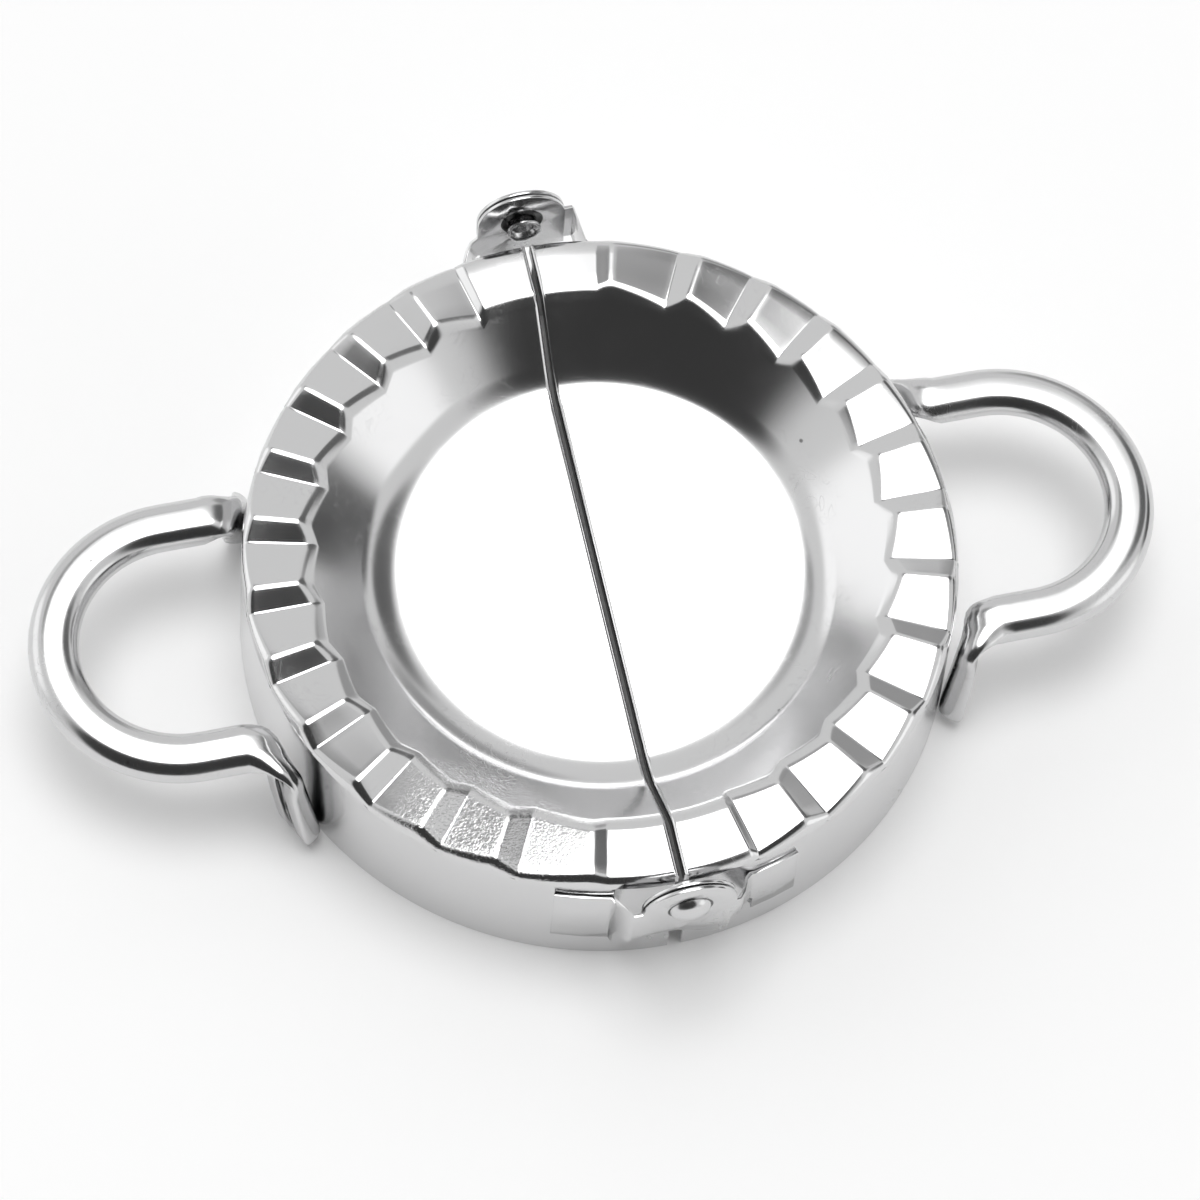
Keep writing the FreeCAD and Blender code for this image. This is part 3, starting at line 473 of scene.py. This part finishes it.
def steel_finish(name, bump_distance, clean, stained, **values):
    """One finish of stainless steel: its marks feed a plain metal shader."""
    finish = bpy.data.materials.new(name)
    finish.use_nodes = True
    tree = finish.node_tree
    shader = tree.nodes["Principled BSDF"]
    shader.inputs["Metallic"].default_value = 1.0
    shown = add_node(tree, "ShaderNodeGroup", node_tree=marks)
    shown.inputs["Clean"].default_value = (clean, clean, clean * 1.005, 1)
    shown.inputs["Stained"].default_value = (stained, stained, stained, 1)
    for socket, wanted_value in values.items():
        shown.inputs[socket.replace("_", " ")].default_value = wanted_value
    relief = add_node(tree, "ShaderNodeBump")
    relief.inputs["Strength"].default_value = 1.0
    relief.inputs["Distance"].default_value = bump_distance
    join(
        tree, (shown.outputs["Color"], shader.inputs["Base Color"]),
        (shown.outputs["Roughness"], shader.inputs["Roughness"]),
        (shown.outputs["Height"], relief.inputs["Height"]),
        (relief.outputs["Normal"], shader.inputs["Normal"]),
    )
    return finish


pressed_steel = steel_finish(
    "pressed_stainless", bump_distance=0.00010, clean=0.67, stained=0.24,
    Scratches_per_metre=3600, Waves_per_metre=60, Pits_per_metre=420, Polish=0.16, Dullness=0.10,
)

# Inside the slot the cut lips are painted near black as shade in the crevice: a mask on how near a
# place is to the fold line.
pressed_looks = pressed_steel.node_tree
pressed_shader = pressed_looks.nodes["Principled BSDF"]
pressed_place = add_node(pressed_looks, "ShaderNodeTexCoord").outputs["Object"]
pressed_parts = add_node(pressed_looks, "ShaderNodeSeparateXYZ")
from_slot = add_node(pressed_looks, "ShaderNodeMath", operation="ABSOLUTE")
slot_shade_mask = add_node(pressed_looks, "ShaderNodeMapRange")
slot_shade_mask.inputs["From Min"].default_value = 0.00042
slot_shade_mask.inputs["From Max"].default_value = 0.00034
# Painted shade: near-black colour is mixed into the steel across the slot.
slot_painted_shade = add_node(pressed_looks, "ShaderNodeMix", data_type="RGBA")
slot_painted_shade.inputs["B"].default_value = (0.05, 0.05, 0.05, 1)
clean_colour = pressed_shader.inputs["Base Color"].links[0].from_socket
join(
    pressed_looks, (pressed_place, pressed_parts.inputs["Vector"]),
    (pressed_parts.outputs["X"], from_slot.inputs[0]),
    (from_slot.outputs[0], slot_shade_mask.inputs["Value"]),
    (slot_shade_mask.outputs["Result"], slot_painted_shade.inputs["Factor"]), (clean_colour, slot_painted_shade.inputs["A"]),
    (slot_painted_shade.outputs["Result"], pressed_shader.inputs["Base Color"]),
)

# The crimp teeth at the front left are frosted by wear: a fine leathery relief on that spot.
from_spot = add_node(pressed_looks, "ShaderNodeVectorMath", operation="DISTANCE")
from_spot.inputs[1].default_value = (-0.0235, -0.0365, 0.0215)
on_spot = add_node(pressed_looks, "ShaderNodeMapRange", interpolation_type="SMOOTHSTEP")
on_spot.inputs["From Min"].default_value = 0.015
on_spot.inputs["From Max"].default_value = 0.009
on_spot.inputs["To Max"].default_value = 0.22
leather = add_node(pressed_looks, "ShaderNodeTexNoise")
leather.inputs["Scale"].default_value = 2300
leather.inputs["Detail"].default_value = 2.5
leather.inputs["Distortion"].default_value = 1.2
frost_height = add_node(pressed_looks, "ShaderNodeMath", operation="MULTIPLY")
frost = add_node(pressed_looks, "ShaderNodeBump")
frost.inputs["Strength"].default_value = 1.0
frost.inputs["Distance"].default_value = 0.00022
sheet_relief = pressed_shader.inputs["Normal"].links[0].from_socket
join(
    pressed_looks, (pressed_place, from_spot.inputs[0]),
    (from_spot.outputs["Value"], on_spot.inputs["Value"]),
    (pressed_place, leather.inputs["Vector"]), (leather.outputs["Fac"], frost_height.inputs[0]),
    (on_spot.outputs["Result"], frost_height.inputs[1]),
    (frost_height.outputs[0], frost.inputs["Height"]), (sheet_relief, frost.inputs["Normal"]),
    (frost.outputs["Normal"], pressed_shader.inputs["Normal"]),
)
right_mould.data.materials.append(pressed_steel)

# The left half mould is a second pressing from the same die, turned half a turn.
bpy.ops.object.duplicate()
left_mould = bpy.context.active_object
left_mould.name = "left_pressed_mould"
bpy.ops.transform.rotate(value=math.pi, orient_axis="Z", center_override=(0, 0, 0))
bpy.ops.object.transform_apply(location=True, rotation=True, scale=True)
for mould, node, body in (
    (right_mould, "right_half_mould", "right_half"),
    (left_mould, "left_half_mould", "left_half"),
):
    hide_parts(node)
    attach(mould, body)

# ---------------------------------------------------------------------------------------------
# Handles. Each is one strip of stainless steel rolled into a flat channel with turned-in edges
# and bent round into a loop; its ends turn down into tabs that are spot-welded to the skirt.
# The bends press the channel shallow, and each loop sits a little off the middle.
# ---------------------------------------------------------------------------------------------
STRIP_WIDTH = 0.0067
STRIP_DEPTH = 0.0031
STRIP_TOP = 0.0175
STRIP_FOOT = STRIP_TOP - STRIP_DEPTH
STRIP_SHEET = 0.0006
SHOULDER = 0.0025
EDGE_TURN = 0.00045      # how far round the lower edges are turned in
LOOP_RADIUS = 0.0168
LOOP_X = 0.05625
LOOP_OFFSET = 0.00075    # how far the right loop sits to the front, the left one to the rear
LEG_START = 0.0508

# Middle of the web down one bend, with the loop in the middle: x, y, z, how far the channel is
# yawed, tilted and twisted there (degrees), how much is left of the loop's offset, and how much
# of the channel's width and depth. The rear bend is pinched tighter than the front one.
FRONT_BEND = [
    (0.04978, 0.01707, 0.01745, -10, 5, 2, 0.95, 1, 0.88),
    (0.04865, 0.01733, 0.01729, -17, 12, 5, 0.81, 1, 0.7),
    (0.04759, 0.01775, 0.01701, -21, 22, 9, 0.62, 1, 0.56),
    (0.04653, 0.01832, 0.01649, -24, 38, 13, 0.38, 1, 0.5),
    (0.04578, 0.01881, 0.01586, -23, 55, 17, 0.19, 1, 0.54),
    (0.04524, 0.01923, 0.01504, -18, 74, 22, 0.05, 1, 0.66),
    (0.04494, 0.01954, 0.01400, -12, 88, 26, 0, 1, 0.82),
    (0.04472, 0.01984, 0.01250, -11, 88, 26, 0, 1, 0.96),
    (0.04415, 0.02062, 0.00852, -11, 88, 26, 0, 1, 1.05),
]
REAR_BEND = [
    (0.04978, 0.01690, 0.01745, -3, 5, 0, 0.95, 0.99, 0.84),
    (0.04865, 0.01692, 0.01727, -4, 14, 1, 0.81, 0.95, 0.62),
    (0.04765, 0.01696, 0.01690, -5, 26, 3, 0.62, 0.9, 0.46),
    (0.04685, 0.01702, 0.01640, -6, 42, 6, 0.38, 0.87, 0.38),
    (0.04625, 0.01715, 0.01570, -8, 58, 10, 0.19, 0.86, 0.36),
    (0.04585, 0.01735, 0.01490, -10, 76, 15, 0.05, 0.86, 0.38),
    (0.04560, 0.01760, 0.01400, -12, 88, 22, 0, 0.88, 0.46),
    (0.04535, 0.01810, 0.01250, -12, 88, 24, 0, 0.92, 0.6),
    (0.04440, 0.02000, 0.00852, -11, 88, 26, 0, 1, 0.9),
]
TAB_FOOT = [
    (0.04348, 0.02154, 0.00390, -11, 88, 26, 0, 1, 1.1),
    (0.04333, 0.02175, 0.00285, -11, 88, 26, 0, 1, 1.1),
    (0.04320, 0.02194, 0.00200, -11, 88, 26, 0, 0.94, 1.05),
    (0.04311, 0.02206, 0.00140, -11, 88, 26, 0, 0.8, 0.95),
    (0.04306, 0.02213, 0.00105, -11, 88, 26, 0, 0.6, 0.75),
]

handle_steel = steel_finish(
    "polished_strip_stainless", bump_distance=0.00005, clean=0.64, stained=0.2,
    Scratches_per_metre=3600, Waves_per_metre=110, Pits_per_metre=500, Polish=0.17, Dullness=0.10,
)


def turn_selected(axis, degrees, middle):
    """Turn what is selected counterclockwise round a world axis through a point."""
    bpy.ops.transform.rotate(
        value=-math.radians(degrees), orient_axis=axis, center_override=middle
    )


for name, node, body, loop_offset in (
    ("right_loop_handle", "right_handle", "right_half", -LOOP_OFFSET),
    ("left_loop_handle", "left_handle", "left_half", LOOP_OFFSET),
):
    # A rectangle of the channel's width and depth is stood up at the outermost point of the
    # loop. Its upper corners are rounded into shoulders, its lower corners into the turned-in
    # edges, and the middle of its lower edge is taken away.
    bpy.ops.object.select_all(action="DESELECT")
    bpy.ops.mesh.primitive_plane_add(size=1, location=(0, 0, 0))
    loop = bpy.context.active_object
    loop.name = name
    bpy.ops.object.mode_set(mode="EDIT")
    bpy.ops.mesh.select_all(action="SELECT")
    bpy.ops.transform.resize(value=(STRIP_WIDTH, STRIP_DEPTH, 1), center_override=(0, 0, 0))
    turn_selected("X", 90, (0, 0, 0))
    bpy.ops.transform.translate(
        value=(LOOP_X + LOOP_RADIUS, loop_offset, STRIP_TOP - STRIP_DEPTH / 2)
    )
    bpy.ops.mesh.delete(type="ONLY_FACE")
    pick("verts", lambda point: point.co.z > STRIP_TOP - 0.001)
    bpy.ops.mesh.bevel(offset=SHOULDER, offset_type="OFFSET", affect="VERTICES", segments=9)
    pick("verts", lambda point: point.co.z < STRIP_FOOT + 0.00001)
    bpy.ops.mesh.bevel(offset=EDGE_TURN, offset_type="OFFSET", affect="VERTICES", segments=4)
    pick("edges", lambda edge: all(end.co.z < STRIP_FOOT + 0.00001 for end in edge.verts))
    bpy.ops.mesh.subdivide(number_cuts=2)
    pick("edges", lambda edge: all(
        abs(end.co.x - LOOP_X - LOOP_RADIUS) < STRIP_WIDTH / 5
        and end.co.z < STRIP_FOOT + 0.00001 for end in edge.verts
    ))
    bpy.ops.mesh.delete(type="EDGE")

    # The section is spun a quarter round the loop to each side, drawn out into a leg, and then
    # turned step by step through the bend into the tab.
    for side, bend in ((1, REAR_BEND), (-1, FRONT_BEND)):
        pick("edges", lambda edge: all(
            abs(end.co.y - loop_offset) < 0.00001
            and abs(end.co.x - LOOP_X - LOOP_RADIUS) < STRIP_WIDTH for end in edge.verts
        ))
        bpy.ops.mesh.spin(
            steps=24, angle=-side * math.pi / 2, center=(LOOP_X, loop_offset, 0), axis=(0, 0, 1)
        )
        for share in (0.25, 0.5, 0.25):
            bpy.ops.mesh.extrude_edges_move()
            bpy.ops.transform.translate(value=((LEG_START - LOOP_X) * share, 0, 0))
        here = Vector((LEG_START, loop_offset + side * LOOP_RADIUS, STRIP_TOP))
        turned = (0, 0, 0)
        left = (1, 1)
        for x, y, z, yaw, tilt, twist, offset_left, width_left, depth_left in bend + TAB_FOOT:
            there = Vector((x, side * y + loop_offset * offset_left, z))
            bpy.ops.mesh.extrude_edges_move()
            bpy.ops.transform.translate(value=there - here)
            turn_selected("Z", -side * turned[2], there)
            turn_selected("Y", turned[1], there)
            turn_selected("Z", -side * turned[0], there)
            bpy.ops.transform.resize(
                value=(1, width_left / left[0], depth_left / left[1]), center_override=there
            )
            turn_selected("Z", side * yaw, there)
            turn_selected("Y", -tilt, there)
            turn_selected("Z", side * twist, there)
            here, turned, left = there, (yaw, tilt, twist), (width_left, depth_left)
    bpy.ops.mesh.select_all(action="SELECT")
    bpy.ops.mesh.remove_doubles(threshold=0.000001)
    if body == "left_half":
        bpy.ops.transform.mirror(
            orient_type="GLOBAL", constraint_axis=(True, False, False),
            center_override=(0, 0, 0),
        )
    bpy.ops.mesh.normals_make_consistent(inside=False)
    bpy.ops.object.mode_set(mode="OBJECT")

    # The strip gets its thickness inwards and its cut edges are eased.
    bpy.ops.object.select_all(action="DESELECT")
    loop.select_set(True)
    bpy.context.view_layer.objects.active = loop
    wall = loop.modifiers.new("wall", "SOLIDIFY")
    wall.thickness = STRIP_SHEET
    wall.offset = -1
    eased = loop.modifiers.new("eased", "BEVEL")
    eased.limit_method = "ANGLE"
    eased.angle_limit = math.radians(60)
    eased.width = 0.00012
    eased.segments = 2
    bpy.ops.object.modifier_apply(modifier="wall")
    bpy.ops.object.modifier_apply(modifier="eased")
    bpy.ops.object.shade_smooth_by_angle(angle=math.radians(50))
    loop.data.materials.append(handle_steel)
    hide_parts(node)
    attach(loop, body)

# ---------------------------------------------------------------------------------------------
# Hinge plates. An outer and an inner plate of 0.5 mm steel at each end of the slot, each with a
# strip that steps in to the skirt and is spot-welded to its half mould. Their shape is the one
# of the frame; here the strips lean in to the skirt and the cut edges are eased.
# ---------------------------------------------------------------------------------------------
PLATE_STRIP_START = 0.0085     # the strips lie further than this from the pin
LEANING_TOP = 0.0165     # and what of them is above this leans in
LEAN = 0.9895
plate_steel = steel_finish(
    "blanked_sheet_stainless", bump_distance=0.00004, clean=0.64, stained=0.2,
    Scratches_per_metre=4500, Scratch_turn=0.2, Waves_per_metre=140, Pits_per_metre=600,
    Polish=0.15, Dullness=0.16,
)

# A thin dark ring is painted round the rivet head as its shadow on the plate, centred just above
# the pin so it shows more on the upper side: a mask on how far a place is from that centre.
plate_looks = plate_steel.node_tree
plate_shader = plate_looks.nodes["Principled BSDF"]
plate_place = add_node(plate_looks, "ShaderNodeTexCoord").outputs["Object"]
across_pin = add_node(plate_looks, "ShaderNodeVectorMath", operation="MULTIPLY_ADD")
across_pin.inputs[1].default_value = (1, 0, 1)
across_pin.inputs[2].default_value = (0, 0, -0.02233)
from_pin = add_node(plate_looks, "ShaderNodeVectorMath", operation="LENGTH")
rivet_shadow_mask = add_node(plate_looks, "ShaderNodeMapRange", interpolation_type="SMOOTHSTEP")
rivet_shadow_mask.inputs["From Min"].default_value = 0.00306
rivet_shadow_mask.inputs["From Max"].default_value = 0.00286
# Painted shadow: near-black colour is mixed into the plate in that ring.
plate_painted_shadow = add_node(plate_looks, "ShaderNodeMix", data_type="RGBA")
plate_painted_shadow.inputs["B"].default_value = (0.04, 0.04, 0.04, 1)
clean_plate = plate_shader.inputs["Base Color"].links[0].from_socket
join(
    plate_looks, (plate_place, across_pin.inputs[0]),
    (across_pin.outputs["Vector"], from_pin.inputs[0]),
    (from_pin.outputs["Value"], rivet_shadow_mask.inputs["Value"]),
    (rivet_shadow_mask.outputs["Result"], plate_painted_shadow.inputs["Factor"]),
    (clean_plate, plate_painted_shadow.inputs["A"]),
    (plate_painted_shadow.outputs["Result"], plate_shader.inputs["Base Color"]),
)
for node, body in (
    ("front_outer_bracket", "left_half"), ("rear_outer_bracket", "right_half"),
    ("front_inner_bracket", "right_half"), ("rear_inner_bracket", "left_half"),
):
    bpy.ops.object.select_all(action="DESELECT")
    nodes[node].select_set(True)
    bpy.context.view_layer.objects.active = nodes[node]
    bpy.ops.object.duplicate()
    plate = bpy.context.active_object
    plate.name = node.replace("bracket", "hinge_plate")
    bpy.ops.object.mode_set(mode="EDIT")
    bpy.ops.mesh.select_all(action="SELECT")
    bpy.ops.mesh.remove_doubles(threshold=0.000005)
    bpy.ops.mesh.dissolve_limited(angle_limit=math.radians(1))
    pick("verts", lambda point: abs(point.co.x) > PLATE_STRIP_START and point.co.z > LEANING_TOP)
    bpy.ops.transform.resize(value=(LEAN, LEAN, 1), center_override=(0, 0, 0))
    bpy.ops.object.mode_set(mode="OBJECT")
    cut_edges = plate.modifiers.new("cut_edges", "BEVEL")
    cut_edges.limit_method = "ANGLE"
    cut_edges.angle_limit = math.radians(50)
    cut_edges.width = 0.00009
    cut_edges.segments = 2
    bpy.ops.object.modifier_apply(modifier="cut_edges")
    bpy.ops.object.shade_smooth_by_angle(angle=math.radians(35))
    plate.data.materials.clear()
    plate.data.materials.append(plate_steel)
    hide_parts(node)
    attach(plate, body)

# ---------------------------------------------------------------------------------------------
# Rivets. A domed head outside, a shank through both plates, and a hollow end that is flared open
# on the inside; each is turned from steel wire.
# ---------------------------------------------------------------------------------------------
# Radius of each ring and its distance from the middle of the press, from the middle of the head
# round to the bottom of the hollow.
PIN_LEVEL = 0.02225
HEAD_MIDDLE = (0.0003, 0.0531)
RIVET_RINGS = [
    (0.00060, 0.05308), (0.00115, 0.05300), (0.00165, 0.05286), (0.00205, 0.05266),
    (0.00236, 0.05240), (0.00257, 0.05210), (0.00268, 0.05184), (0.00272, 0.05172),
    (0.00262, 0.05172),
    (0.00185, 0.05180), (0.00185, 0.04985), (0.00200, 0.04965), (0.00240, 0.04925),
    (0.00240, 0.04900), (0.00232, 0.04892), (0.00205, 0.04890), (0.00190, 0.04897),
    (0.00150, 0.04955), (0.00135, 0.04985), (0.00135, 0.05090), (0.00120, 0.05115),
    (0.00060, 0.05120),
]
rivet_steel = steel_finish(
    "wire_stainless", bump_distance=0.00003, clean=0.64, stained=0.2, Scratches_per_metre=4500,
    Waves_per_metre=300, Pits_per_metre=700, Polish=0.16, Dullness=0.14,
)
bpy.ops.object.select_all(action="DESELECT")
bpy.ops.mesh.primitive_circle_add(
    vertices=48, radius=HEAD_MIDDLE[0], fill_type="NGON", location=(0, 0, 0)
)
front_rivet = bpy.context.active_object
front_rivet.name = "front_hinge_rivet"
bpy.ops.object.mode_set(mode="EDIT")
bpy.ops.mesh.select_all(action="SELECT")
turn_selected("X", 90, (0, 0, 0))
bpy.ops.transform.translate(value=(0, -HEAD_MIDDLE[1], PIN_LEVEL))
pick("edges", lambda edge: edge.is_boundary)
drawn = HEAD_MIDDLE
for ring in RIVET_RINGS:
    bpy.ops.mesh.extrude_edges_move()
    spread = ring[0] / drawn[0]
    bpy.ops.transform.resize(value=(spread, 1, spread), center_override=(0, 0, PIN_LEVEL))
    bpy.ops.transform.translate(value=(0, drawn[1] - ring[1], 0))
    drawn = ring
bpy.ops.mesh.edge_face_add()
bpy.ops.mesh.select_all(action="SELECT")
bpy.ops.mesh.normals_make_consistent(inside=False)
bpy.ops.object.mode_set(mode="OBJECT")
bpy.ops.object.shade_smooth_by_angle(angle=math.radians(40))
front_rivet.data.materials.append(rivet_steel)
bpy.ops.object.duplicate()
rear_rivet = bpy.context.active_object
rear_rivet.name = "rear_hinge_rivet"
bpy.ops.transform.rotate(value=math.pi, orient_axis="Z", center_override=(0, 0, 0))
bpy.ops.object.transform_apply(location=True, rotation=True, scale=True)
for rivet, node, body in (
    (front_rivet, "front_rivet", "left_half"), (rear_rivet, "rear_rivet", "right_half"),
):
    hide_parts(node)
    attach(rivet, body)
